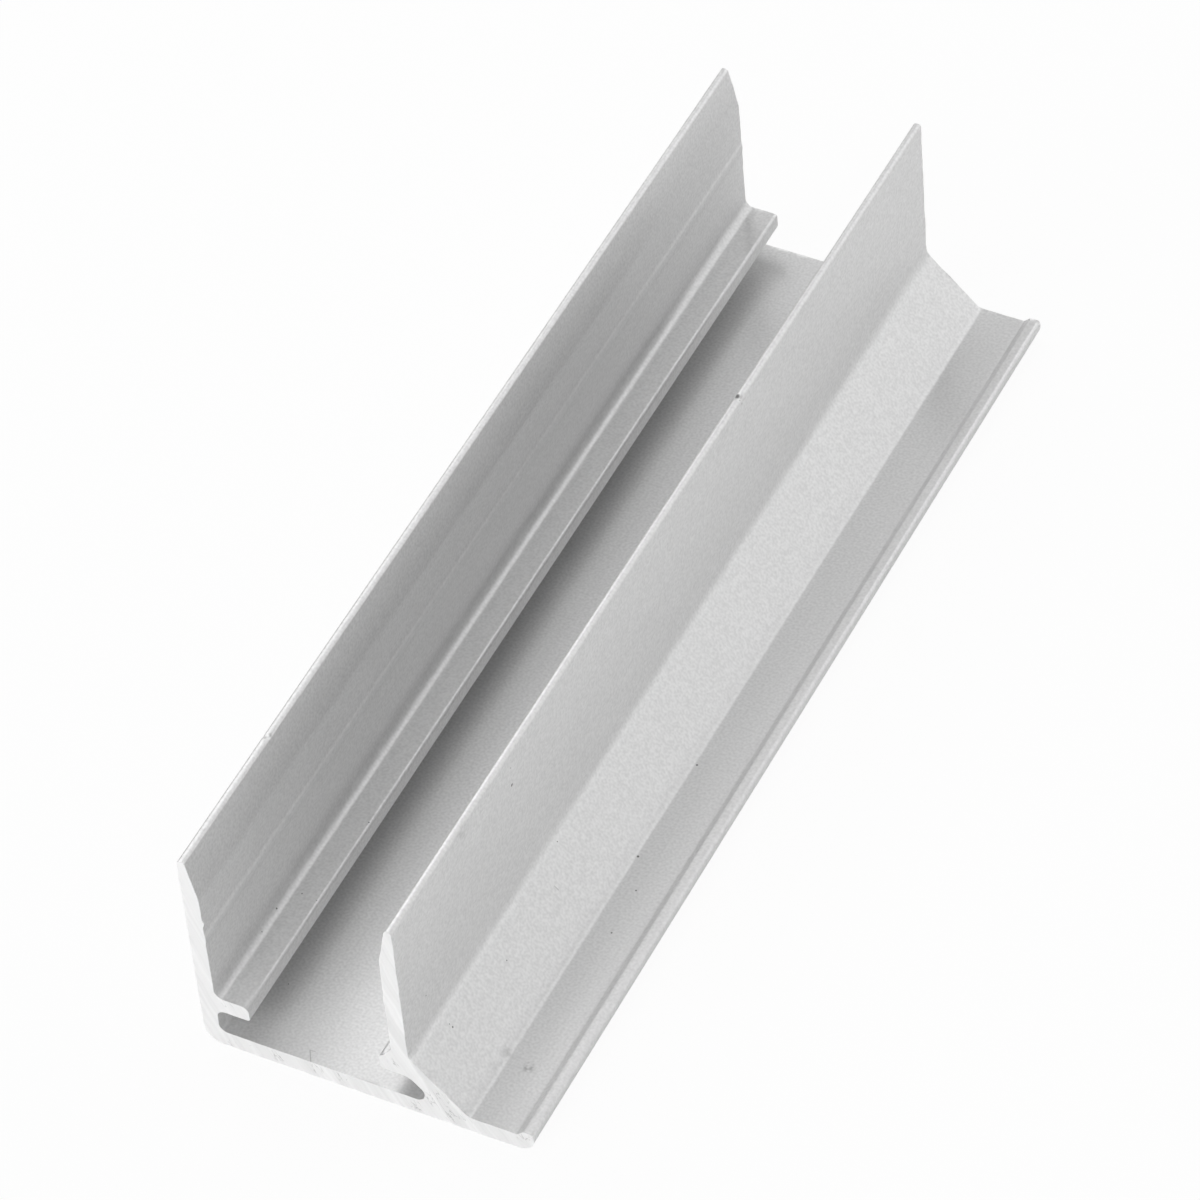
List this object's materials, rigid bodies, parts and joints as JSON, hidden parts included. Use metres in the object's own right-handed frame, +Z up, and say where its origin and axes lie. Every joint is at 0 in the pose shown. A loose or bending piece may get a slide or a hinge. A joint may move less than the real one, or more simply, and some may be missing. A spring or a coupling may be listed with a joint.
{
  "type": "aluminium extrusion profile",
  "caption": "Short cut length of matte aluminium extrusion: a panel channel with tapered walls and an undercut floor slot, beside a sloped web and a beaded flange.",
  "frame": {"origin": "middle of the flat underside, halfway between the two sawn ends", "axes": "+Y along the length, away from the end that faces the viewer; +Z up out of the channel; +X from the channel towards the flange"},
  "size_m": [0.036, 0.119, 0.0264],
  "materials": {
    "aluminium": "matte natural anodised outside with a fine grain along the length, bare and brighter on the sawn ends"
  },
  "bodies": {
    "root": {"profile": "aluminium"}
  },
  "joints": []
}
